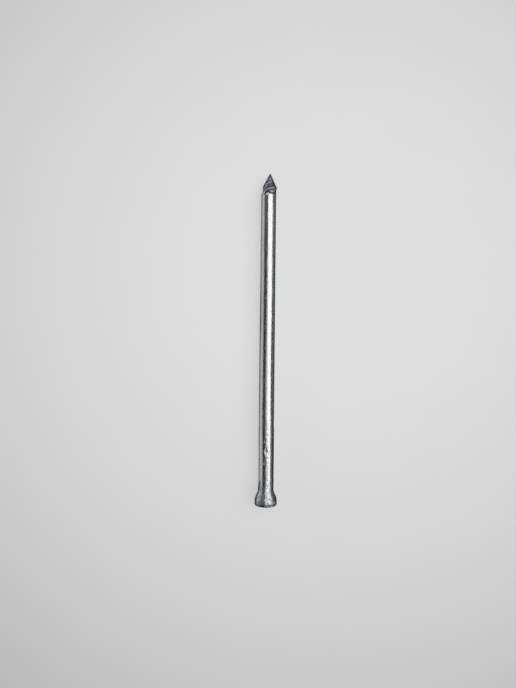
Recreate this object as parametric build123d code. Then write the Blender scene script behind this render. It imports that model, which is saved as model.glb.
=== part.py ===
from build123d import *
import os
from math import atan2, degrees, radians, sin, tan

# A finishing nail in one piece of drawn steel wire, lying on its side.
# It is made in the order of the nail machine: wire, upset head, die marks, pinched point.
# The wire's axis is +Y while it is made, with the head's crown at Y = 0 and the point at +Y.
# Lengths are in millimetres and angles in degrees.

# ---- Wire ----
nail_length = 50.8  # crown to tip, 2 inches
wire_diameter = 2.324  # 13 gauge

# ---- Head ----
head_diameter = 3.43
head_offset = 0.10  # the upset head sits this far off the wire's axis, which lies below the head's at rest
rim_radius = 0.24  # rounding between crown and barrel
barrel_length = 0.32  # straight band above the rim
shoulder_radius = 2.0  # convex bend from barrel into flare
flare_angle = 24.0  # half angle of the cone under the head
neck_radius = 1.2  # hollow bend from flare into wire
dimple_diameter = 1.5  # cup in the crown that keeps a nail set centred
dimple_depth = 0.22

# ---- Marks of the gripping dies ----
grip_start = 3.1  # crown to the first tooth mark
grip_length = 9.2  # first tooth mark to the end of the dies
grip_squeeze = 0.02  # how much the dies take off the wire's radius
grip_run_out = 0.8  # taper from the squeezed stretch back to plain wire
tooth_pitch = 0.84
tooth_radius = 0.26
tooth_depth = 0.085
grip_clocking = -8.0  # turn of the tooth marks about the axis, from straight up towards +X
seam_height = 0.03  # fins where the two dies meet, above the plain wire
seam_width = 0.14

# ---- Pinched diamond point ----
side_taper = 20.5  # half angle across the left and right edges, at X
ridge_taper = 18.0  # half angle across the top and bottom ridges, at Z
facet_bulge = 0.18  # rise of each curved facet, as a share of its width
facet_reach = 1.4  # how far the facets are drawn past the wire, as a share of its radius
point_clocking = -12.0  # turn of the point about the axis
tip_offset = 0.22  # the tip is pinched off centre, to +X
tip_width = 0.16  # blunt land at the very tip, across the edges
right_taper = 24.0  # angle of the thin flash squeezed out at the edges, at +X
left_taper = 28.5  # and at -X, where the off-centre tip lies further from the edge
flash_thickness = 0.09
flash_overhang = 0.11  # how far the +X flash stands out past the wire
flash_shortfall = 0.24  # how far the -X flash stops short of it
flash_return = 0.75  # length over which the +X flash runs back into the wire

# ---- Worked out ----
wire_radius = wire_diameter / 2
head_radius = head_diameter / 2
barrel_end = rim_radius + barrel_length
grip_radius = wire_radius - grip_squeeze
grip_end = grip_start + grip_length
right_slope = tan(radians(right_taper))
left_slope = tan(radians(left_taper))
tip_land = tip_width / (right_slope + left_slope)  # from the blunt tip to where the flash's edges would meet
point_apex = nail_length + tip_land
margin = 1.0  # how far cutting and limiting shapes reach past the metal
contact_width = 0.02  # width of the strip along the wire's lowest line that finds where it ends
section_up = Rot(0, -90, 0)  # turns a half section from +X up to +Z, in line with the head's offset


def gripped_wire():
    """The drawn wire from inside the head to the tip, a little thinner where the dies squeezed it."""
    outline = Polyline(
        (0, barrel_end),
        (grip_radius, barrel_end),
        (grip_radius, grip_end),
        (wire_radius, grip_end + grip_run_out),
        (wire_radius, nail_length),
        (0, nail_length),
        close=True,
    )
    return section_up * revolve(make_face(outline), Axis.Y)


def head_blank():
    """The head as the punch and die form it: crown, rim, barrel, shoulder and flare."""
    crown = Line((0, 0), (head_radius - rim_radius, 0))
    rim = JernArc(crown @ 1, crown % 1, rim_radius, 90)
    barrel = Line(rim @ 1, (head_radius, barrel_end))
    shoulder = JernArc(barrel @ 1, barrel % 1, shoulder_radius, flare_angle)
    inner_radius = (grip_radius - head_offset) / 2
    flare_length = ((shoulder @ 1).X - inner_radius) / sin(radians(flare_angle))
    flare = Line(shoulder @ 1, shoulder @ 1 + (shoulder % 1) * flare_length)
    top = Line(flare @ 1, (0, (flare @ 1).Y))
    axis = Line(top @ 1, crown @ 0)
    outline = make_face(crown + rim + barrel + shoulder + flare + top + axis)
    return Pos(0, 0, head_offset) * section_up * revolve(outline, Axis.Y)


def crown_dimple():
    """A shallow ball-shaped cup in the middle of the crown."""
    half = dimple_diameter / 2
    ball_radius = (half**2 + dimple_depth**2) / (2 * dimple_depth)
    return Pos(0, dimple_depth - ball_radius, head_offset) * Sphere(ball_radius)


def tooth_marks():
    """Two rows of small round-bottomed notches, pressed by the dies' teeth on opposite sides."""
    reach = grip_radius - tooth_depth + tooth_radius
    count = int(grip_length / tooth_pitch) + 1
    tooth = Rot(0, 90, 0) * Cylinder(tooth_radius, wire_diameter)
    marks = []
    for side in (0, 180):
        for number in range(count):
            along = grip_start + number * tooth_pitch
            marks.append(Rot(0, grip_clocking + side, 0) * Pos(0, along, reach) * tooth)
    return marks


def die_seams():
    """The thin fins where metal crept between the two dies, from the flare to the dies' end."""
    length = grip_end - barrel_end
    width = 2 * (wire_radius + seam_height)
    bar = Box(width, length, seam_width)
    return Rot(0, grip_clocking, 0) * Pos(0, barrel_end + length / 2, 0) * bar


def taper_room():
    """The room the cutters leave: all of the nail up to the point, then a four-sided diamond."""
    depth = facet_reach * wire_radius / tan(radians(ridge_taper))
    start = point_apex - depth
    side = depth * tan(radians(side_taper))
    ridge = depth * tan(radians(ridge_taper))
    corners = [Vector(x, start, z) for x, z in ((side, 0), (0, ridge), (-side, 0), (0, -ridge))]
    rise = facet_bulge * (corners[1] - corners[0]).length
    middle = Vector(0, start, 0)
    base = [bulged(a, b, middle, rise) for a, b in zip(corners, corners[1:] + corners[:1])]
    diamond = loft([make_face(base), Vertex(tip_offset, point_apex, 0)], ruled=True)
    body_length = start + margin
    body = Pos(0, start - body_length / 2, 0) * Rot(90, 0, 0) * Cylinder(head_diameter, body_length)
    return body + Rot(0, point_clocking, 0) * diamond


def bulged(first, second, middle, rise):
    """An arc between two corners that stands out from their chord, away from the middle."""
    half_way = (first + second) / 2
    return ThreePointArc(first, half_way + (half_way - middle).normalized() * rise, second)


def flash():
    """The thin sheet squeezed out between the cutters: past the wire at +X, short of it at -X."""
    right, left = wire_radius + flash_overhang, wire_radius - flash_shortfall
    right_corner = point_apex - (right - tip_offset) / right_slope
    left_corner = point_apex - (left + tip_offset) / left_slope
    end = right_corner - flash_return
    outline = Polyline(
        (tip_offset - tip_land * left_slope, nail_length),
        (tip_offset + tip_land * right_slope, nail_length),
        (right, right_corner),
        (grip_radius, end),
        (-left, end),
        (-left, left_corner),
        close=True,
    )
    return Rot(0, point_clocking, 0) * extrude(make_face(outline), flash_thickness / 2, both=True)


def lay_down(nail):
    """Tips the nail until head and wire end touch the ground, with the origin under its middle."""
    low_line = Pos(0, nail_length / 2, -wire_radius) * Box(contact_width, nail_length, contact_width)
    wire_end = (nail & low_line).bounding_box().max.Y
    head_drop = head_radius - head_offset  # from the wire's axis down to the bottom of the head
    tip_down = degrees(atan2(head_drop - wire_radius, wire_end - barrel_end))
    lying = Rot(-tip_down, 0, 0) * nail
    box = lying.bounding_box()
    return Pos(-box.center().X, -box.center().Y, -box.min.Z) * lying


def finishing_nail():
    wire = gripped_wire()
    head = head_blank()
    blank = wire + head
    blank = fillet(new_edges(wire, head, combined=blank), neck_radius)
    blank = blank + die_seams() - tooth_marks() - crown_dimple()
    return lay_down((blank & taper_room()) + flash())


os.makedirs("parts", exist_ok=True)
export_step(finishing_nail(), "parts/nail.step")
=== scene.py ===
import math
import random

import bpy
from mathutils import Matrix, Vector, noise


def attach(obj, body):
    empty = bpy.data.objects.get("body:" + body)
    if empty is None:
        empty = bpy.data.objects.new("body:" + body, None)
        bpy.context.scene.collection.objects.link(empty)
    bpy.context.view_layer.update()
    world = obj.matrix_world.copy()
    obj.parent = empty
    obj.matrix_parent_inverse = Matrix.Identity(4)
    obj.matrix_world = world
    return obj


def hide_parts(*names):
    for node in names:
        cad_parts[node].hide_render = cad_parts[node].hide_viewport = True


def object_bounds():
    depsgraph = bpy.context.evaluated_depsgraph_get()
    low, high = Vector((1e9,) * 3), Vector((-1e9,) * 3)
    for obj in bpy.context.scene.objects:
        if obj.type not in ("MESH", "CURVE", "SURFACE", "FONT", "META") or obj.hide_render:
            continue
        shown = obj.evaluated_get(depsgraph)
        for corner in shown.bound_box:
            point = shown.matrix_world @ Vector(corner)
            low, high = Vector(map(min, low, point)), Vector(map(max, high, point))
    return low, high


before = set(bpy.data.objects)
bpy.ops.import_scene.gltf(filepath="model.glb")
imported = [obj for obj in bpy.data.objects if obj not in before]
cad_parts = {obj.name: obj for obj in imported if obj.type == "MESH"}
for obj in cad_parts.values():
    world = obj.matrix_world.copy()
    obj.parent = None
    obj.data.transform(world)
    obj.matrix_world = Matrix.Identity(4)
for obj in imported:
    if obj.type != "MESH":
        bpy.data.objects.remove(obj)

# A finishing nail in bright drawn steel, lying on its side on a pale sheet.
# The nail is swept in rings from crown to tip. Its wire, head, point and flash have its solid's sizes.
# Its tooth marks are smaller and turned, and the flattened side, dents, wear and torn lines are added.
# Nail lengths are in millimetres until place_nail turns them into metres. Angles are in degrees.
# A place along the nail is measured from the crown.

cad_low, cad_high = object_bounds()
MM = 0.001

# ---- Wire ----
NAIL_LENGTH = 50.8
WIRE_DIAMETER = 2.324

# ---- Head ----
HEAD_DIAMETER = 3.43
HEAD_OFFSET = 0.10  # how far the head's axis stands above the wire's
RIM_RADIUS = 0.24
BARREL_LENGTH = 0.32
SHOULDER_RADIUS = 2.0
FLARE_ANGLE = 24.0
CUP_DIAMETER = 1.5
CUP_DEPTH = 0.22
NECK_BLEND = 0.107  # fills the corner of flare and wire as deep as a bend of radius 1.2 would
NECK_LENGTH = 0.5  # how far the neck runs on past the place where flare and wire would meet
FLARE_SPARE = 0.5  # the flare is worked out this far past the neck, where it lies inside the wire

# ---- Marks of the gripping dies ----
GRIP_START = 3.1
GRIP_LENGTH = 9.2
GRIP_SQUEEZE = 0.02
GRIP_RUN_OUT = 0.8
GRIP_CLOCKING = -8.0
TOOTH_PITCH = 0.84
TOOTH_LEAN = 19.0  # turn of the pits from the dies' middle line
TOOTH_DEPTH = 0.034
TOOTH_LENGTH = 0.15
TOOTH_WIDTH = 0.12
TOOTH_STRAY = 0.12  # how far a pit may lie from its even place
TURN_STRAY = 5.0
TOOTH_BITES = (0.75, 1.25)  # the weakest and the strongest bite
BITE_SEED = 7
# Single dents near the head, the same on both sides: place along, turn from straight up, half length,
# half width, depth.
DENTS = (
    (8.32, -1.0, 0.62, 0.27, 0.055),
    (2.36, 12.0, 0.15, 0.13, 0.04),
    (7.46, 40.0, 0.16, 0.12, 0.03),
    (6.48, -12.0, 0.22, 0.14, 0.05),
    (9.9, -9.0, 0.35, 0.12, 0.02),
    (5.5, -17.0, 0.40, 0.10, 0.02),
)
SEAM_HEIGHT = 0.03
SEAM_WIDTH = 0.14
SEAM_RUN_OUT = 0.6
FLAT_SIDE_DEPTH = 0.06
FLAT_SIDE_STARTS = (2.4, 3.4)  # between these places it grows to its full depth
FLAT_SIDE_ENDS = (5.0, 13.0)  # and between these it runs out

# ---- Pinched diamond point ----
SIDE_TAPER = 20.5
RIDGE_TAPER = 18.0
FACET_BULGE = 0.18  # how far a facet's middle stands out, as a share of its width
FACET_REACH = 1.4
POINT_CLOCKING = -12.0
TIP_OFFSET = 0.22
TIP_WIDTH = 0.16
RIGHT_TAPER = 24.0
LEFT_TAPER = 28.5
FLASH_THICKNESS = 0.09
FLASH_OVERHANG = 0.11
FLASH_SHORTFALL = 0.24
FLASH_RETURN = 0.75
EDGE_ROUND = 0.02

# ---- Torn and wiped lines on the point, with painted shade and highlight ----
# Marks that the cutters left: height, half width, painted shine and the line's places.
# A place is (across from the axis, down from the tip). Negative heights are grooves.
# The painted shine goes from -1, painted shade darkening the grooves, to 1, painted highlight lightening
# the ridges. Past 1 or -1 the core of the line is wider.
SHEAR_LINES = (
    (0.018, 0.08, 0.9, ((-0.87, 2.98), (-0.57, 2.84), (-0.20, 2.59), (0.18, 2.39), (0.74, 2.20))),
    (0.018, 0.13, 0.75, ((0.76, 2.22), (0.96, 2.42), (0.90, 2.76), (0.56, 2.95), (0.27, 2.90))),
    (-0.024, 0.055, -0.9, ((-0.28, 2.80), (0.08, 2.61), (0.62, 2.47))),
    (-0.07, 0.09, -1.2, ((-0.64, 3.42), (-0.44, 3.06), (-0.15, 2.88), (0.08, 3.14), (0.61, 3.22),
                         (0.95, 2.95), (1.14, 2.4))),
    (0.05, 0.11, 1.4, ((-0.42, 3.44), (-0.25, 3.32), (-0.12, 3.20))),
    (-0.04, 0.045, -0.8, ((-0.20, 3.52), (-0.02, 3.34), (0.14, 3.18))),
    (0.018, 0.06, 1.1, ((-0.60, 1.95), (-0.44, 1.80), (-0.21, 1.60), (0.07, 1.40), (0.40, 1.31))),
    (0.012, 0.07, 0.25, ((-0.72, 2.36), (-0.42, 2.10))),
    (-0.024, 0.08, -0.7, ((-0.30, 1.36), (0.07, 1.16), (0.40, 1.14))),
    (-0.03, 0.11, -0.9, ((0.05, 2.12), (0.44, 2.10))),
    (0.018, 0.10, 1.3, ((0.18, 0.90), (0.25, 0.89))),
    (-0.024, 0.08, -0.5, ((-0.80, 2.84), (-0.48, 2.54))),
    (-0.024, 0.09, -0.9, ((0.66, 1.53), (0.74, 1.66))),
)
# Where the torn surface ends and the wire's begins, as places of the same kind.
SHEAR_END = ((-1.3, 2.78), (-0.85, 2.95), (-0.40, 3.22), (0.0, 3.24), (0.62, 3.28), (1.3, 3.1))
SHEAR_END_BLUR = 0.04
# The flash on the right side only is painted dark: painted shade.
FLASH_PAINTED_SHADE = -0.85
LINE_END = 3  # a line is left out this many half widths away
LINES_START = (0.1, 0.45)  # the relief grows from the flash towards the ridges
TIP_CALM = 0.25  # the relief fades out over this last stretch

# ---- Wear on the head ----
# Noise is set by its cells across the nail, its cells along it and a shift that picks the pattern.
CHIP_DEPTH = 0.05
CHIP_CELLS = 5.2
CHIP_CELLS_ALONG = 2.5
CHIP_SHIFT = 9.0
CHIP_COVER = (-0.35, 0.0)
CHIP_REACH = 0.40  # from the crown to the chips' ragged edge
CHIP_REACH_SPREAD = 0.22
CHIP_REACH_CELLS = 7.0
CHIP_REACH_SHIFT = 3.0
CHIP_EDGE_BLUR = 0.08
CROWN_EDGE = 0.02  # the chips begin over this first stretch below the crown
WEAR_LEAST = 0.006
DENT_DEPTH = 0.014
DENT_CELLS = 3.1
DENT_CELLS_ALONG = 2.4
DENT_SHIFT = 5.0
DENT_COVER = (-0.3, 0.5)
PIT_DEPTH = 0.010
PIT_CELLS = 8.0
PIT_CELLS_ALONG = 6.0
PIT_COVER = (-0.2, 0.5)
WEAR_START = (0.05, 0.3)  # the wear grows between these places
WEAR_RUN_OUT = 1.2  # how far the wear runs on past the shoulder
PUNCHED_SKIN = (-0.1, 2.8)  # the punched skin fades between these places past the shoulder

# ---- Rings and columns of the mesh ----
COLUMN_TURN = 2
FLASH_COLUMN_TURN = 0.7
FLASH_COLUMNS = 10  # on each side of the flash's middle
CUP_RINGS = 10
CROWN_RINGS = 8
RIM_RINGS = 8
BARREL_RINGS = 6
SHOULDER_RINGS = 14
GRIP_SPACING = 0.06
WIRE_SPACING = 0.35
POINT_SPACING = 0.033
POINT_RINGS_LENGTH = 4.2
SHARP_ANGLE = 32  # steeper edges stay sharp
NEARLY_ZERO = 1e-6  # keeps a division from failing
CLOSE_ENOUGH = 0.0001  # the search for the resting tilt stops at steps this small


def tan(angle):
    return math.tan(math.radians(angle))


def soft_min(a, b, blend):
    """The smaller of two sizes, with the corner between them rounded."""
    near = max(blend - abs(a - b), 0.0) / blend
    return min(a, b) - near * near * blend / 4


def soft_max(a, b, blend):
    """The larger of two sizes, with the corner between them filled."""
    return -soft_min(-a, -b, blend)


def ease(low, high, value):
    """0 below low, 1 above high, smooth between."""
    share = min(max((value - low) / (high - low), 0.0), 1.0)
    return share * share * (3 - 2 * share)


def circle_through(first, middle, last):
    """Centre and radius of the circle through three points."""
    (ax, az), (bx, bz), (cx, cz) = first, middle, last
    span = 2 * (ax * (bz - cz) + bx * (cz - az) + cx * (az - bz))
    a, b, c = ax * ax + az * az, bx * bx + bz * bz, cx * cx + cz * cz
    x = (a * (bz - cz) + b * (cz - az) + c * (az - bz)) / span
    z = (a * (cx - bx) + b * (ax - cx) + c * (bx - ax)) / span
    return x, z, math.hypot(ax - x, az - z)


def facet_circle():
    """The curve of one facet, as a circle (x, z, radius) at a distance of 1 from the apex."""
    side, ridge = tan(SIDE_TAPER), tan(RIDGE_TAPER)
    share = 0.5 + FACET_BULGE
    return circle_through((side, 0.0), (side * share, ridge * share), (0.0, ridge))


# ---- Worked out from the sizes above ----
WIRE_RADIUS = WIRE_DIAMETER / 2
HEAD_RADIUS = HEAD_DIAMETER / 2
CUP_RADIUS = CUP_DIAMETER / 2
GRIP_RADIUS = WIRE_RADIUS - GRIP_SQUEEZE
GRIP_END = GRIP_START + GRIP_LENGTH
BARREL_END = RIM_RADIUS + BARREL_LENGTH
SHOULDER_END = BARREL_END + SHOULDER_RADIUS * math.sin(math.radians(FLARE_ANGLE))
FLARE_RADIUS = HEAD_RADIUS - SHOULDER_RADIUS * (1 - math.cos(math.radians(FLARE_ANGLE)))
NECK_END = SHOULDER_END + (FLARE_RADIUS - GRIP_RADIUS) / tan(FLARE_ANGLE) + NECK_LENGTH
APEX = NAIL_LENGTH + TIP_WIDTH / (tan(LEFT_TAPER) + tan(RIGHT_TAPER))
POINT_DEPTH = FACET_REACH * WIRE_RADIUS / tan(RIDGE_TAPER)
POINT_START = APEX - POINT_DEPTH
FACET_X, FACET_Z, FACET_RADIUS = facet_circle()
FLASH_RIGHT = WIRE_RADIUS + FLASH_OVERHANG
FLASH_LEFT = WIRE_RADIUS - FLASH_SHORTFALL
FLASH_CORNER = APEX - (FLASH_RIGHT - TIP_OFFSET) / tan(RIGHT_TAPER)
FLASH_START = FLASH_CORNER - FLASH_RETURN


# ---- The nail's form ----


def circle_reach(offset_x, offset_z, radius, angle):
    """How far a circle lies from a ring's centre, at an angle from straight up towards +X."""
    ahead = offset_x * math.sin(angle) + offset_z * math.cos(angle)
    aside = offset_x * math.cos(angle) - offset_z * math.sin(angle)
    return ahead + math.sqrt(max(radius * radius - aside * aside, 0.0))


def wire_radius_at(along):
    """Gripped wire under the head, plain wire after the dies' end."""
    share = (along - GRIP_END) / GRIP_RUN_OUT
    return GRIP_RADIUS + (WIRE_RADIUS - GRIP_RADIUS) * min(max(share, 0.0), 1.0)


def ring_centre(along):
    """The sweep's middle line: the head's own axis, then the wire's, then out to the off-centre tip."""
    head_share = 1 - ease(SHOULDER_END, NECK_END, along)
    tip_shift = TIP_OFFSET * max(0.0, 1 - (APEX - along) / POINT_DEPTH)
    turn = math.radians(POINT_CLOCKING)
    return tip_shift * math.cos(turn), HEAD_OFFSET * head_share - tip_shift * math.sin(turn)


def flare_radius_at(along):
    """The flare under the head, about the head's own axis."""
    return FLARE_RADIUS - (along - SHOULDER_END) * tan(FLARE_ANGLE)


class DieMarks:
    """Two rows of small pits, each tooth with its own bite, and a few single dents."""

    def __init__(self):
        draw = random.Random(BITE_SEED)
        self.pits = []
        for side in (0, 180):
            for number in range(int(GRIP_LENGTH / TOOTH_PITCH) + 1):
                along = GRIP_START + number * TOOTH_PITCH + draw.uniform(-TOOTH_STRAY, TOOTH_STRAY)
                turn = GRIP_CLOCKING + side + TOOTH_LEAN + draw.uniform(-TURN_STRAY, TURN_STRAY)
                bite = draw.uniform(*TOOTH_BITES)
                self.pits.append((along, turn, TOOTH_LENGTH * bite, TOOTH_WIDTH * bite, TOOTH_DEPTH * bite))
            self.pits += [(along, turn + side, *size) for along, turn, *size in DENTS]

    def depth(self, along, angle):
        """How deep the surface was pressed in at this place."""
        deepest = 0.0
        for place, turn, half_length, half_width, depth in self.pits:
            off = (along - place) / half_length
            lean = angle - math.radians(turn)
            if abs(off) < 1 and math.cos(lean) > 0:
                aside = math.sin(lean) * GRIP_RADIUS / half_width
                deepest = max(deepest, depth * (1 - off * off - aside * aside))
        return deepest


def seam_reach(along, angle):
    """The low rounded fins where the two dies met."""
    off = abs(math.sin(angle - math.radians(GRIP_CLOCKING + 90))) * WIRE_RADIUS / (SEAM_WIDTH / 2)
    run = 1 - ease(GRIP_END - SEAM_RUN_OUT, GRIP_END, along)
    return (WIRE_RADIUS + SEAM_HEIGHT - GRIP_RADIUS) * run * math.exp(-off * off)


def flat_side(along, angle):
    """How much the dies flattened the wire's left side near the head."""
    run = ease(*FLAT_SIDE_STARTS, along) * (1 - ease(*FLAT_SIDE_ENDS, along))
    return FLAT_SIDE_DEPTH * run * max(0.0, -math.sin(angle)) ** 2


def facet_reach(along, angle):
    """The four rounded facets, which meet in sharp edges at the sides, the top and the bottom."""
    turned = angle - math.radians(POINT_CLOCKING)
    folded = math.atan2(abs(math.sin(turned)), abs(math.cos(turned)))
    return max(APEX - along, 0.0) * circle_reach(FACET_X, FACET_Z, FACET_RADIUS, folded)


def flash_reach(along, angle):
    """The thin sheet squeezed out between the cutters: past the wire at +X, short of it at -X."""
    if along < FLASH_START:
        return 0.0
    turned = angle - math.radians(POINT_CLOCKING)
    across, up = math.sin(turned), abs(math.cos(turned))
    shift = TIP_OFFSET * (1 - (APEX - along) / POINT_DEPTH)
    if across > 0:
        back = max(FLASH_CORNER - along, 0.0) / FLASH_RETURN
        edge = TIP_OFFSET + (APEX - along) * tan(RIGHT_TAPER)
        width = min(edge, FLASH_RIGHT - (FLASH_RIGHT - GRIP_RADIUS) * back) - shift
    else:
        edge = (APEX - along) * tan(LEFT_TAPER) - TIP_OFFSET
        width = min(edge, FLASH_LEFT) + shift
    face = FLASH_THICKNESS / 2 / max(up, NEARLY_ZERO)
    return min(face, max(width, 0.0) / max(abs(across), NEARLY_ZERO))


def on_right_flash(along, x, z):
    """Whether a place on a ring belongs to the flash on the right and not to a facet."""
    centre_x, centre_z = ring_centre(along)
    angle = math.atan2(x - centre_x, z - centre_z)
    return x > centre_x and flash_reach(along, angle) > facet_reach(along, angle)


def line_distance(across, down, places):
    """How far a place on the point lies from a line of short straight stretches."""
    nearest = math.inf
    for (x1, y1), (x2, y2) in zip(places, places[1:]):
        run_x, run_y = x2 - x1, y2 - y1
        share = ((across - x1) * run_x + (down - y1) * run_y) / (run_x**2 + run_y**2)
        share = min(max(share, 0.0), 1.0)
        nearest = min(nearest, math.hypot(across - x1 - share * run_x, down - y1 - share * run_y))
    return nearest


def lines_near(across, down):
    """Height, painted shine and strength, from 0 to 1, of each torn line near a place on the point."""
    for height, half_width, painted_shine, places in SHEAR_LINES:
        off = line_distance(across, down, places) / half_width
        if off < LINE_END:
            yield height, painted_shine, math.exp(-off * off)


def shear_relief(along, angle, reach):
    """Height of the torn lines, on the point's upper side and turned half round on its lower one."""
    side = 1 if math.cos(angle) > 0 else -1
    near = lines_near(side * reach * math.sin(angle), NAIL_LENGTH - along)
    relief = sum(height * strength for height, _, strength in near)
    calm = min(1.0, (NAIL_LENGTH - along) / TIP_CALM)
    return relief * ease(*LINES_START, abs(math.cos(angle))) * calm


def painted_shear_shine(across, down):
    """Painted highlight on the wiped ridges and painted shade in the torn grooves, from -1 to 1, at a place
    on the point.
    """
    total = sum(painted_shine * strength for _, painted_shine, strength in lines_near(across, down))
    return min(max(total, -1.0), 1.0)


def height_on(places, across):
    """Where a line of short straight stretches stands at a place across."""
    for (x1, y1), (x2, y2) in zip(places, places[1:]):
        if across <= x2:
            return y1 + (y2 - y1) * (across - x1) / (x2 - x1)
    return places[-1][1]


def nail_reach(along, angle, marks):
    """How far the surface lies from the ring's centre."""
    centre_x, centre_z = ring_centre(along)
    wire = wire_radius_at(along) + seam_reach(along, angle)
    if along < GRIP_END + TOOTH_PITCH:
        wire -= marks.depth(along, angle) + flat_side(along, angle)
    reach = circle_reach(-centre_x, -centre_z, wire, angle)
    if along < NECK_END + FLARE_SPARE:
        flare = circle_reach(-centre_x, HEAD_OFFSET - centre_z, flare_radius_at(along), angle)
        reach = soft_max(reach, flare, NECK_BLEND)
    if along > POINT_START:
        reach = soft_min(reach, facet_reach(along, angle), EDGE_ROUND)
        reach += shear_relief(along, angle, reach)
        reach = max(reach, flash_reach(along, angle))
    return reach


def ring_angles():
    """The places round each ring, closer together at the flash. The first is on the top ridge."""
    close = range(-FLASH_COLUMNS, FLASH_COLUMNS + 1)
    turns = [side + step * FLASH_COLUMN_TURN for side in (90, 270) for step in close]
    close_to = FLASH_COLUMNS * FLASH_COLUMN_TURN
    turns += [turn for turn in range(0, 360, COLUMN_TURN) if abs(turn % 180 - 90) > close_to]
    return [math.radians(turn + POINT_CLOCKING) for turn in sorted(turns)]


ANGLES = ring_angles()
AROUND = len(ANGLES)


def head_profile():
    """Rings of the head's turned part: (place along the nail, radius), from the cup to the shoulder."""
    rings = []
    for step in range(1, CUP_RINGS + 1):
        radius = CUP_RADIUS * step / CUP_RINGS
        rings.append((CUP_DEPTH * (1 - (radius / CUP_RADIUS) ** 2), radius))
    flat_end = HEAD_RADIUS - RIM_RADIUS
    for step in range(1, CROWN_RINGS + 1):
        rings.append((0.0, CUP_RADIUS + (flat_end - CUP_RADIUS) * step / CROWN_RINGS))
    for step in range(1, RIM_RINGS + 1):
        turn = math.radians(90 * step / RIM_RINGS)
        rings.append((RIM_RADIUS * (1 - math.cos(turn)), flat_end + RIM_RADIUS * math.sin(turn)))
    for step in range(1, BARREL_RINGS + 1):
        rings.append((RIM_RADIUS + BARREL_LENGTH * step / BARREL_RINGS, HEAD_RADIUS))
    for step in range(1, SHOULDER_RINGS + 1):
        turn = math.radians(FLARE_ANGLE * step / SHOULDER_RINGS)
        drop = SHOULDER_RADIUS * (1 - math.cos(turn))
        rings.append((BARREL_END + SHOULDER_RADIUS * math.sin(turn), HEAD_RADIUS - drop))
    return rings


def ring_places():
    """Where the rings of flare, wire and point stand, closer together where there is more to show."""
    marks_end = GRIP_END + GRIP_RUN_OUT
    close_from = APEX - POINT_RINGS_LENGTH
    stretches = (
        (SHOULDER_END, GRIP_START, GRIP_SPACING),
        (GRIP_START, marks_end, GRIP_SPACING),
        (marks_end, close_from, WIRE_SPACING),
        (close_from, NAIL_LENGTH, POINT_SPACING),
    )
    places = []
    for start, end, spacing in stretches:
        count = max(1, round((end - start) / spacing))
        places += [start + (end - start) * step / count for step in range(1, count + 1)]
    return places


def skin_noise(angle, cells, height, shift_x=0.0, shift_z=0.0):
    """Noise that meets itself after a full turn round the nail, from about -1 to 1."""
    x, z = math.sin(angle), math.cos(angle)
    return noise.noise(Vector((x * cells + shift_x, z * cells + shift_z, height)))


def rim_chips(along, angle):
    """Ragged patches along the rim, from 0 to 1, where the punch tore the metal."""
    patches = skin_noise(angle, CHIP_CELLS, along * CHIP_CELLS_ALONG, shift_x=CHIP_SHIFT)
    ragged = skin_noise(angle, CHIP_REACH_CELLS, 0.0, shift_z=CHIP_REACH_SHIFT)
    height = CHIP_REACH + CHIP_REACH_SPREAD * ragged
    within_reach = 1 - ease(height - CHIP_EDGE_BLUR, height + CHIP_EDGE_BLUR, along)
    return within_reach * ease(*CHIP_COVER, patches) * ease(0.0, CROWN_EDGE, along)


def head_wear(along, angle):
    """Shallow dents and chipped patches where the punch left the head rough. Only ever inwards."""
    dents = ease(*DENT_COVER, skin_noise(angle, DENT_CELLS, along * DENT_CELLS_ALONG + DENT_SHIFT))
    pits = ease(*PIT_COVER, skin_noise(angle, PIT_CELLS, along * PIT_CELLS_ALONG))
    rough = WEAR_LEAST + DENT_DEPTH * dents + PIT_DEPTH * pits
    return ease(*WEAR_START, along) * (rough + CHIP_DEPTH * rim_chips(along, angle))


def nail_rings(marks):
    """Every ring as a list of (x, along, z)."""
    rings = []
    for along, radius in head_profile():
        ring = []
        for angle in ANGLES:
            reach = radius
            if radius > CUP_RADIUS:
                reach -= head_wear(along, angle)
            ring.append((reach * math.sin(angle), along, HEAD_OFFSET + reach * math.cos(angle)))
        rings.append(ring)
    for along in ring_places():
        centre_x, centre_z = ring_centre(along)
        wear = 1 - ease(SHOULDER_END, SHOULDER_END + WEAR_RUN_OUT, along)
        ring = []
        for angle in ANGLES:
            reach = nail_reach(along, angle, marks) - wear * head_wear(along, angle)
            ring.append((centre_x + reach * math.sin(angle), along, centre_z + reach * math.cos(angle)))
        rings.append(ring)
    return rings


def sweep_mesh(name, rings):
    """Joins the rings into one closed skin, with a middle point in the cup and one at the tip."""
    points = [point for ring in rings for point in ring]
    faces = []
    for row in range(len(rings) - 1):
        for step in range(AROUND):
            ahead = (step + 1) % AROUND
            low, high = row * AROUND, (row + 1) * AROUND
            faces.append((low + step, high + step, high + ahead, low + ahead))
    for row, height, turned in ((0, CUP_DEPTH, False), (len(rings) - 1, NAIL_LENGTH, True)):
        middle_x = sum(x for x, _, _ in rings[row]) / AROUND
        middle_z = sum(z for _, _, z in rings[row]) / AROUND
        points.append((middle_x, height, middle_z))
        for step in range(AROUND):
            ahead = (step + 1) % AROUND
            corner = (row * AROUND + step, row * AROUND + ahead, len(points) - 1)
            faces.append(corner[::-1] if turned else corner)
    mesh = bpy.data.meshes.new(name)
    mesh.from_pydata(points, [], faces)
    mesh.update()
    return mesh


def resting_tilt():
    """How far the axis slopes down towards the point, in radians, as the solid lies."""
    wire_end, step = POINT_START, POINT_DEPTH / 2
    while step > CLOSE_ENOUGH:
        centre_x, centre_z = ring_centre(wire_end + step)
        wire = circle_reach(-centre_x, -centre_z, WIRE_RADIUS, math.pi)
        if facet_reach(wire_end + step, math.pi) > wire:
            wire_end += step
        step /= 2
    return math.atan2(HEAD_RADIUS - HEAD_OFFSET - WIRE_RADIUS, wire_end - BARREL_END)


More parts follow.
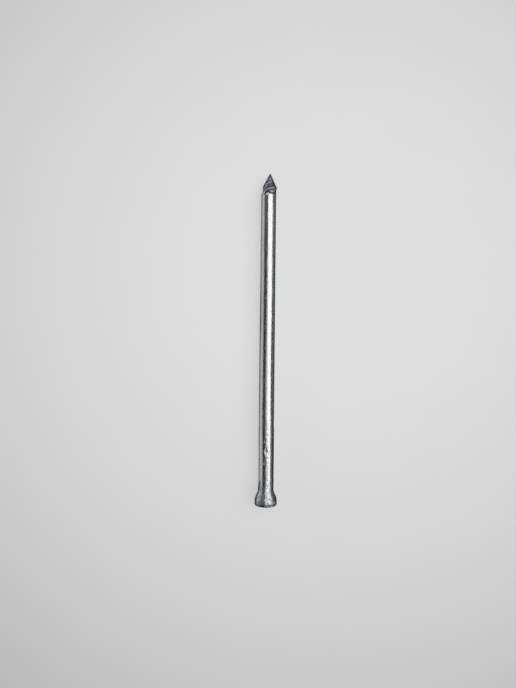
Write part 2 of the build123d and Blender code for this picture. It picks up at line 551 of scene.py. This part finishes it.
def place_nail(mesh):
    """Tips the nail as it rests and sets it in the solid's box, in metres."""
    tilt = resting_tilt()
    mesh.transform(Matrix.Rotation(-tilt, 4, "X"))
    crown = min(vertex.co.y for vertex in mesh.vertices)
    height = BARREL_END * math.sin(tilt) + (HEAD_RADIUS - HEAD_OFFSET) * math.cos(tilt)
    mesh.transform(Matrix.Translation((0, cad_low.y / MM - crown, height)))
    mesh.transform(Matrix.Scale(MM, 4))
    mesh.update()


# ---- Masks for the steel ----

FINISH_MASKS = ("punched", "rim", "sheared", "painted_shine")


def head_finish(along, ring):
    """The masks round a ring of the head or the wire, in the order of FINISH_MASKS."""
    fade_start, fade_end = PUNCHED_SKIN
    punched = 1 - ease(SHOULDER_END + fade_start, SHOULDER_END + fade_end, along)
    in_cup = math.hypot(ring[0][0], ring[0][2] - HEAD_OFFSET) < CUP_RADIUS
    for x, _, z in ring:
        chipped = 0.0 if in_cup else rim_chips(along, math.atan2(x, z - HEAD_OFFSET))
        yield punched, chipped, 0.0, 0.0


def point_finish(along, ring):
    """The masks round a ring of the point, in the order of FINISH_MASKS."""
    down = NAIL_LENGTH - along
    for x, _, z in ring:
        across = x if z > 0 else -x
        sheared = ease(-SHEAR_END_BLUR, SHEAR_END_BLUR, height_on(SHEAR_END, across) - down)
        # painted shade on the right flash only
        painted_shine = FLASH_PAINTED_SHADE if on_right_flash(along, x, z) else painted_shear_shine(across, down)
        yield 0.0, 0.0, sheared, painted_shine


def finish_masks(mesh, rings):
    """Where the surface is punched (head), chipped (rim) or sheared (point), and the painted shade and
    highlight of the torn lines.
    """
    values = []
    for ring in rings:
        along = ring[0][1]
        finish = point_finish if along > POINT_START else head_finish
        values += finish(along, ring)
    cup_middle, tip_middle = (1.0, 0.0, 0.0, 0.0), (0.0, 0.0, 1.0, 0.0)
    values += [cup_middle, tip_middle]
    for name, column in zip(FINISH_MASKS, zip(*values)):
        layer = mesh.attributes.new(name, "FLOAT", "POINT")
        layer.data.foreach_set("value", column)


def make_nail():
    rings = nail_rings(DieMarks())
    mesh = sweep_mesh("nail_steel", rings)
    finish_masks(mesh, rings)
    place_nail(mesh)
    mesh.shade_smooth()
    mesh.set_sharp_from_angle(angle=math.radians(SHARP_ANGLE))
    piece = bpy.data.objects.new("nail_steel", mesh)
    bpy.context.scene.collection.objects.link(piece)
    return piece


# ---- Shader helpers ----


def new_group(name, inputs, outputs):
    """An empty shader node group. Inputs are (name, kind, value) and outputs (name, kind)."""
    group = bpy.data.node_groups.new(name, "ShaderNodeTree")
    for label, kind, value in inputs:
        socket = group.interface.new_socket(name=label, in_out="INPUT", socket_type=kind)
        if value is not None:
            socket.default_value = value
    for label, kind in outputs:
        group.interface.new_socket(name=label, in_out="OUTPUT", socket_type=kind)
    return group, group.nodes.new("NodeGroupInput"), group.nodes.new("NodeGroupOutput")


def use_group(tree, group, coordinates):
    """A node group in a material, linked to its coordinates."""
    node = tree.nodes.new("ShaderNodeGroup")
    node.node_tree = group
    tree.links.new(coordinates, node.inputs["Coordinates"])
    return node


def stretched_noise(tree, coordinates, cells, detail):
    """Noise with its own number of cells a metre in x, y and z."""
    mapping = tree.nodes.new("ShaderNodeMapping")
    mapping.inputs["Scale"].default_value = cells
    tree.links.new(coordinates, mapping.inputs["Vector"])
    texture = tree.nodes.new("ShaderNodeTexNoise")
    texture.inputs["Scale"].default_value = 1.0
    texture.inputs["Detail"].default_value = detail
    tree.links.new(mapping.outputs["Vector"], texture.inputs["Vector"])
    return texture.outputs["Fac"]


def combine(tree, operation, first, second):
    """A math node on two sockets or numbers."""
    node = tree.nodes.new("ShaderNodeMath")
    node.operation = operation
    for slot, value in enumerate((first, second)):
        if isinstance(value, (int, float)):
            node.inputs[slot].default_value = value
        else:
            tree.links.new(value, node.inputs[slot])
    return node.outputs[0]


def between_0_and_1(tree, value):
    return combine(tree, "MINIMUM", combine(tree, "MAXIMUM", value, 0.0), 1.0)


def grey_ramp(tree, share, stops):
    """Greys that change with a share from 0 to 1: (share, level) stops."""
    ramp = tree.nodes.new("ShaderNodeValToRGB")
    while len(ramp.color_ramp.elements) < len(stops):
        ramp.color_ramp.elements.new(0.5)
    for element, (position, level) in zip(ramp.color_ramp.elements, stops):
        element.position = position
        element.color = (level, level, level, 1)
    tree.links.new(share, ramp.inputs[0])
    return ramp.outputs[0]


def blend_colour(tree, share, first, second):
    """Goes from the first colour to the second as share goes from 0 to 1. Each may be a socket."""
    node = tree.nodes.new("ShaderNodeMix")
    node.data_type = "RGBA"
    if isinstance(share, float):
        node.inputs[0].default_value = share
    else:
        tree.links.new(share, node.inputs[0])
    for slot, colour in ((6, first), (7, second)):
        if isinstance(colour, tuple):
            node.inputs[slot].default_value = (*colour, 1)
        else:
            tree.links.new(colour, node.inputs[slot])
    return node.outputs[2]


def point_mask(tree, name):
    node = tree.nodes.new("ShaderNodeAttribute")
    node.attribute_name = name
    return node.outputs["Fac"]


# ---- Steel ----

WIRE_DARK = (0.43, 0.43, 0.43)
WIRE_BRIGHT = (0.67, 0.67, 0.67)
PUNCHED_BRIGHT = (0.62, 0.63, 0.64)
PUNCHED_DARK = (0.30, 0.30, 0.32)
CHIPPED = (0.10, 0.10, 0.11)
SHEARED = (0.205, 0.21, 0.235)
# The wiped tone is painted highlight on the point's ridges, the torn tone painted shade in its grooves.
WIPED_PAINTED_HIGHLIGHT = (0.68, 0.69, 0.73)
TORN_PAINTED_SHADE = (0.04, 0.04, 0.045)
# Roughness of the drawn wire, and what each finish adds to it.
WIRE_ROUGHNESS = 0.20
SPECK_ROUGHNESS = 0.16
PUNCHED_ROUGHNESS = 0.12
SHEARED_ROUGHNESS = 0.18
WIPED_ROUGHNESS = 0.15
# Relief finer than the mesh.
RELIEF_DEPTH = 0.02 * MM
LINE_DEPTH = 0.5
WAVE_DEPTH = 1.1
PUNCHED_DEPTH = 0.8
PUNCHED_FINE_SHARE = 0.5
# Noise cells a metre in x, y and z. Fewer of them in y draw the pattern out along the wire.
LINE_CELLS = (9000, 420, 9000)
WAVE_CELLS = (2200, 700, 2200)
SPECK_CELLS = (5200, 1700, 5200)
PUNCHED_CELLS = (4200, 1500, 4200)
PUNCHED_FINE_CELLS = (9500, 3200, 9500)
SPECK_STOPS = ((0.50, 0.0), (0.66, 1.0))
FLECK_STOPS = ((0.42, 1.0), (0.58, 0.0))


def draw_lines_group():
    """Fine lines, soft waves and dull specks that the drawing die and its soap leave along a wire."""
    group, given, result = new_group(
        "draw_lines",
        [("Coordinates", "NodeSocketVector", None), ("Line Depth", "NodeSocketFloat", 1.0),
         ("Wave Depth", "NodeSocketFloat", 1.0)],
        [("Height", "NodeSocketFloat"), ("Tone", "NodeSocketFloat"), ("Specks", "NodeSocketFloat")],
    )
    place = given.outputs["Coordinates"]
    lines = stretched_noise(group, place, LINE_CELLS, 3.0)
    waves = stretched_noise(group, place, WAVE_CELLS, 2.0)
    line_part = combine(group, "MULTIPLY", lines, given.outputs["Line Depth"])
    wave_part = combine(group, "MULTIPLY", waves, given.outputs["Wave Depth"])
    group.links.new(combine(group, "ADD", line_part, wave_part), result.inputs["Height"])
    group.links.new(lines, result.inputs["Tone"])
    specks = stretched_noise(group, place, SPECK_CELLS, 4.0)
    group.links.new(grey_ramp(group, specks, SPECK_STOPS), result.inputs["Specks"])
    return group


def punched_group():
    """The pitted skin of punched metal: rough height and dark flecks."""
    group, given, result = new_group(
        "punched_skin",
        [("Coordinates", "NodeSocketVector", None)],
        [("Height", "NodeSocketFloat"), ("Flecks", "NodeSocketFloat")],
    )
    place = given.outputs["Coordinates"]
    coarse = stretched_noise(group, place, PUNCHED_CELLS, 3.0)
    fine = stretched_noise(group, place, PUNCHED_FINE_CELLS, 2.0)
    height = combine(group, "ADD", coarse, combine(group, "MULTIPLY", fine, PUNCHED_FINE_SHARE))
    group.links.new(height, result.inputs["Height"])
    group.links.new(grey_ramp(group, coarse, FLECK_STOPS), result.inputs["Flecks"])
    return group


def drawn_steel():
    """Bright drawn wire with a duller punched head and a dark sheared point."""
    material = bpy.data.materials.new("drawn_steel")
    material.use_nodes = True
    tree = material.node_tree
    shader = tree.nodes["Principled BSDF"]
    shader.inputs["Metallic"].default_value = 1.0
    place = tree.nodes.new("ShaderNodeTexCoord").outputs["Object"]
    lines = use_group(tree, draw_lines_group(), place)
    lines.inputs["Line Depth"].default_value = LINE_DEPTH
    lines.inputs["Wave Depth"].default_value = WAVE_DEPTH
    skin = use_group(tree, punched_group(), place)
    punched, rim, sheared, painted_shine = (point_mask(tree, name) for name in FINISH_MASKS)
    # painted highlight on the ridges and painted shade in the grooves and on the right flash
    wiped_highlight = combine(tree, "MAXIMUM", painted_shine, 0.0)
    torn_shade = combine(tree, "MAXIMUM", combine(tree, "MULTIPLY", painted_shine, -1.0), 0.0)

    tone = blend_colour(tree, lines.outputs["Tone"], WIRE_DARK, WIRE_BRIGHT)
    flecked = blend_colour(tree, skin.outputs["Flecks"], PUNCHED_BRIGHT, PUNCHED_DARK)
    finishes = ((punched, flecked), (rim, CHIPPED), (sheared, SHEARED), (wiped_highlight, WIPED_PAINTED_HIGHLIGHT), (torn_shade, TORN_PAINTED_SHADE))
    for share, colour in finishes:
        tone = blend_colour(tree, share, tone, colour)
    tree.links.new(tone, shader.inputs["Base Color"])

    rough = WIRE_ROUGHNESS
    added = ((lines.outputs["Specks"], SPECK_ROUGHNESS), (punched, PUNCHED_ROUGHNESS),
             (sheared, SHEARED_ROUGHNESS), (wiped_highlight, WIPED_ROUGHNESS))
    for share, more in added:
        rough = combine(tree, "ADD", rough, combine(tree, "MULTIPLY", share, more))
    tree.links.new(rough, shader.inputs["Roughness"])

    bump = tree.nodes.new("ShaderNodeBump")
    bump.inputs["Strength"].default_value = 1.0
    bump.inputs["Distance"].default_value = RELIEF_DEPTH
    pitted_share = combine(tree, "MULTIPLY", punched, PUNCHED_DEPTH)
    pitted = combine(tree, "MULTIPLY", skin.outputs["Height"], pitted_share)
    tree.links.new(combine(tree, "ADD", lines.outputs["Height"], pitted), bump.inputs["Height"])
    tree.links.new(bump.outputs["Normal"], shader.inputs["Normal"])
    return material


# ---- Sheet, cards and camera ----
# From here on lengths are in metres, apart from the cards' outlines.

SHEET_HALF = 0.6
SHEET_TONES = ((0.27, 0.27, 0.268), (0.29, 0.29, 0.288))
SHEET_CELLS = (120, 120, 120)
SHEET_ROUGHNESS = 0.85
SHEET_SHEEN = 0.2
# The sheet's glow is painted light: it brightens the sheet, thins its shadows and fades towards the edges.
PAINTED_GLOW_LEVEL = 0.548
PAINTED_GLOW_MIDDLE = (0.004, 0.010, 0.0)
PAINTED_GLOW_REACH = 0.124  # the fading glow would reach zero here
PAINTED_GLOW_LEAST = 0.60  # but never falls below this share

# Cards of painted shade, seen only in the steel's reflections: name, outline in millimetres, tone at the
# head's end and at the point's, and cover left at the point's end.
PAINTED_SHADE_CARDS = (
    ("painted_shade_right", ((1.3, -29), (26, -29), (26, 32), (1.3, 32)), 0.05, 0.2, 1.0),
    ("painted_shadow_under", ((-9.5, -29), (0.6, -29), (0.6, 32), (-0.8, 32), (-1.2, 10), (-4.0, 2), (-4.2, -8),
                    (-3.2, -14), (-2.8, -22.6), (-9.5, -23.4)), 0.03, 0.1, 0.8),
    ("painted_shade_side", ((-4.0, 2), (-1.2, 10), (-0.8, 32), (-12, 32), (-9, 0)), 0.15, 0.15, 0.45),
)
CARD_LIFT = 0.02 * MM
CARD_ROUGHNESS = 0.9
CARD_TINT = (0.0, 0.02, 0.08)
CARD_TINT_SHARE = 0.25
# Shares of the nail's length between which a card's tone and its cover change.
CARD_TONE_RUN = (0.1, 0.8)
CARD_COVER_RUN = (0.4, 0.7)

CAMERA_PLACE = (-0.00141, -0.0008, 0.0807)
CAMERA_LEAN = 0.58
CAMERA_LENS = 27.0
CAMERA_SENSOR = 36.0
CAMERA_NEAREST = 0.005
CAMERA_FURTHEST = 10.0


def pale_sheet():
    """An off-white sheet with a faint tooth. It glows with painted light that fades towards its edges and
    thins the shadows on it.
    """
    material = bpy.data.materials.new("pale_sheet")
    material.use_nodes = True
    tree = material.node_tree
    shader = tree.nodes["Principled BSDF"]
    shader.inputs["Roughness"].default_value = SHEET_ROUGHNESS
    shader.inputs["Specular IOR Level"].default_value = SHEET_SHEEN
    place = tree.nodes.new("ShaderNodeTexCoord").outputs["Object"]
    tooth = stretched_noise(tree, place, SHEET_CELLS, 4.0)
    tree.links.new(blend_colour(tree, tooth, *SHEET_TONES), shader.inputs["Base Color"])
    from_middle = tree.nodes.new("ShaderNodeVectorMath")
    from_middle.operation = "DISTANCE"
    from_middle.inputs[1].default_value = PAINTED_GLOW_MIDDLE
    tree.links.new(place, from_middle.inputs[0])
    far = combine(tree, "DIVIDE", from_middle.outputs["Value"], PAINTED_GLOW_REACH)
    fade = combine(tree, "SUBTRACT", 1.0, combine(tree, "MULTIPLY", far, far))
    # painted light: the sheet glows, brightest near the middle
    painted_glow = combine(tree, "MAXIMUM", fade, PAINTED_GLOW_LEAST)
    tree.links.new(painted_glow, shader.inputs["Emission Color"])
    shader.inputs["Emission Strength"].default_value = PAINTED_GLOW_LEVEL
    return material


def flat_piece(name, corners, height):
    """A flat face with these corners."""
    mesh = bpy.data.meshes.new(name)
    mesh.from_pydata([(x, y, height) for x, y in corners], [], [range(len(corners))])
    flat = bpy.data.objects.new(name, mesh)
    bpy.context.scene.collection.objects.link(flat)
    return flat


def make_floor():
    half = SHEET_HALF
    floor = flat_piece("sheet", ((-half, -half), (half, -half), (half, half), (-half, half)), 0)
    floor.data.materials.append(pale_sheet())


def painted_shade_paper(name, head_tone, tip_tone, tip_cover):
    """Dark bluish painted shade, whose tone and cover change towards the point's end."""
    material = bpy.data.materials.new(name)
    material.use_nodes = True
    tree = material.node_tree
    shader = tree.nodes["Principled BSDF"]
    shader.inputs["Roughness"].default_value = CARD_ROUGHNESS
    split = tree.nodes.new("ShaderNodeSeparateXYZ")
    tree.links.new(tree.nodes.new("ShaderNodeTexCoord").outputs["Object"], split.inputs[0])
    along = combine(tree, "ADD", combine(tree, "DIVIDE", split.outputs["Y"], NAIL_LENGTH * MM), 0.5)
    tone = grey_ramp(tree, along, tuple(zip(CARD_TONE_RUN, (head_tone, tip_tone))))
    tone = blend_colour(tree, CARD_TINT_SHARE, tone, CARD_TINT)
    tree.links.new(tone, shader.inputs["Base Color"])
    cover = grey_ramp(tree, along, tuple(zip(CARD_COVER_RUN, (1.0, tip_cover))))
    tree.links.new(cover, shader.inputs["Alpha"])
    return material


def painted_shade_card(name, outline, head_tone, tip_tone, tip_cover):
    """A card of painted shade on the sheet, seen only in the steel's reflections."""
    card = flat_piece(name, [(x * MM, y * MM) for x, y in outline], CARD_LIFT)
    # hidden from all but the steel's reflections: painted shade
    card.visible_camera = False
    card.visible_diffuse = False
    card.visible_shadow = False
    card.data.materials.append(painted_shade_paper(name, head_tone, tip_tone, tip_cover))


def make_painted_shade_cards():
    """Painted shade seen only in the steel: one card keeps the wire's right edge dark, one paints a shadow
    under the left edge, and a thin film of shade lies beside it.
    """
    for card in PAINTED_SHADE_CARDS:
        painted_shade_card(*card)


def make_camera():
    """Straight above the nail, turned a little so that the nail leans to the right."""
    data = bpy.data.cameras.new("camera")
    data.sensor_width = CAMERA_SENSOR
    data.lens = CAMERA_LENS
    data.clip_start = CAMERA_NEAREST
    data.clip_end = CAMERA_FURTHEST
    camera = bpy.data.objects.new("camera", data)
    camera.rotation_euler = (0, 0, math.radians(CAMERA_LEAN))
    camera.location = CAMERA_PLACE
    bpy.context.scene.collection.objects.link(camera)
    bpy.context.scene.camera = camera


# ---- Light ----

# The key panel hangs above on the right, turned towards the line of the nail.
KEY_TURN = 21.5
KEY_DISTANCE = 0.34
KEY_AHEAD = 0.05
KEY_WIDTH = 0.717
KEY_LENGTH = 0.46
KEY_STRENGTH = 2.0
KEY_COLOUR = (0.98, 1.0, 1.01)
# Shares of the panel's width at shares of its length, from the head's end to the point's.
KEY_DARK_UP_TO = ((0.04, 0.18), (0.12, 0.38), (0.18, 0.44), (0.205, 0.06), (0.30, 0.0), (0.39, 0.03),
                  (0.50, 0.22), (0.58, 0.27))
KEY_FULL_FROM = ((0.06, 0.42), (0.14, 0.68), (0.19, 0.71), (0.21, 0.60), (0.30, 0.63), (0.39, 0.56),
                 (0.50, 0.38), (0.58, 0.30))
KEY_STOPS_AT = ((0.22, 1.0), (0.27, 0.84), (0.41, 0.84), (0.50, 1.0))
KEY_EDGE = 0.04
# Brightness at shares of its length.
KEY_LEVELS = ((0.10, 0.92), (0.15, 0.80), (0.19, 0.88), (0.24, 1.06), (0.40, 0.98), (0.60, 0.86))

# The room's left side is pale up to one angle from straight up and dark from the next.
SIDE_LEVEL = 0.72
SIDE_PALE_TO = -71
SIDE_DARK_FROM = -61
DIM_LEVEL = 0.034
# Levels at shares of the way from straight beyond the head's end to straight beyond the point's.
ROOM_ENDS = (
    (0.09, 0.48),
    (0.19, 2 * DIM_LEVEL),
    (0.53, DIM_LEVEL),
    (0.60, 2.5 * DIM_LEVEL),
    (0.66, 5 * DIM_LEVEL),
    (0.74, DIM_LEVEL),
    (0.84, 2 * DIM_LEVEL),
    (0.93, 0.45),
)
BACKDROP = (0.45, 0.45, 0.45)


def key_panel():
    """A soft panel from above right. Its left side is dark, furthest in near the head's end."""
    data = bpy.data.lights.new("key_panel", "AREA")
    data.shape = "RECTANGLE"
    data.size = KEY_WIDTH
    data.size_y = KEY_LENGTH
    data.energy = KEY_STRENGTH * KEY_WIDTH * KEY_LENGTH * math.pi
    data.color = KEY_COLOUR
    data.use_nodes = True
    tree = data.node_tree
    split = tree.nodes.new("ShaderNodeSeparateXYZ")
    tree.links.new(tree.nodes.new("ShaderNodeNewGeometry").outputs["Parametric"], split.inputs[0])
    across, along = split.outputs["X"], split.outputs["Y"]
    dark_end = grey_ramp(tree, along, KEY_DARK_UP_TO)
    rise = combine(tree, "SUBTRACT", grey_ramp(tree, along, KEY_FULL_FROM), dark_end)
    lit = combine(tree, "DIVIDE", combine(tree, "SUBTRACT", across, dark_end), rise)
    to_edge = combine(tree, "SUBTRACT", grey_ramp(tree, along, KEY_STOPS_AT), across)
    inside = combine(tree, "DIVIDE", to_edge, KEY_EDGE)
    share = combine(tree, "MULTIPLY", between_0_and_1(tree, lit), between_0_and_1(tree, inside))
    level = combine(tree, "MULTIPLY", share, grey_ramp(tree, along, KEY_LEVELS))
    tree.links.new(level, tree.nodes["Emission"].inputs["Strength"])
    panel = bpy.data.objects.new("key_panel", data)
    turn = math.radians(KEY_TURN)
    panel.location = (KEY_DISTANCE * math.sin(turn), KEY_AHEAD, KEY_DISTANCE * math.cos(turn))
    panel.rotation_euler = (0, turn, 0)
    bpy.context.scene.collection.objects.link(panel)


def turn_share(angle):
    """Where an angle from straight up, -180 to 180 degrees, lies on a ramp."""
    return angle / 360 + 0.5


def make_room():
    """A dim room, pale low on the left and beyond the nail's two ends. The camera sees a plain grey."""
    world = bpy.data.worlds.new("room")
    bpy.context.scene.world = world
    world.use_nodes = True
    tree = world.node_tree
    tree.nodes.clear()
    split = tree.nodes.new("ShaderNodeSeparateXYZ")
    tree.links.new(tree.nodes.new("ShaderNodeTexCoord").outputs["Generated"], split.inputs[0])
    swing = combine(tree, "ARCTAN2", split.outputs["X"], split.outputs["Z"])
    swing = combine(tree, "ADD", combine(tree, "DIVIDE", swing, 2 * math.pi), 0.5)
    side_stops = ((turn_share(SIDE_PALE_TO), SIDE_LEVEL), (turn_share(SIDE_DARK_FROM), 0.0))
    ahead = combine(tree, "ADD", combine(tree, "MULTIPLY", split.outputs["Y"], 0.5), 0.5)
    total = tree.nodes.new("ShaderNodeMix")
    total.data_type = "RGBA"
    total.blend_type = "ADD"
    total.inputs[0].default_value = 1.0
    tree.links.new(grey_ramp(tree, swing, side_stops), total.inputs[6])
    tree.links.new(grey_ramp(tree, ahead, ROOM_ENDS), total.inputs[7])
    room = tree.nodes.new("ShaderNodeBackground")
    tree.links.new(total.outputs[2], room.inputs["Color"])
    backdrop = tree.nodes.new("ShaderNodeBackground")
    backdrop.inputs["Color"].default_value = (*BACKDROP, 1)
    seen = tree.nodes.new("ShaderNodeMixShader")
    tree.links.new(tree.nodes.new("ShaderNodeLightPath").outputs["Is Camera Ray"], seen.inputs[0])
    tree.links.new(room.outputs[0], seen.inputs[1])
    tree.links.new(backdrop.outputs[0], seen.inputs[2])
    result = tree.nodes.new("ShaderNodeOutputWorld")
    tree.links.new(seen.outputs[0], result.inputs["Surface"])


bpy.context.scene.view_settings.view_transform = "Standard"
make_camera()
make_floor()
make_painted_shade_cards()
key_panel()
make_room()
nail = make_nail()
nail.data.materials.append(drawn_steel())
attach(nail, "root")
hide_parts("nail")
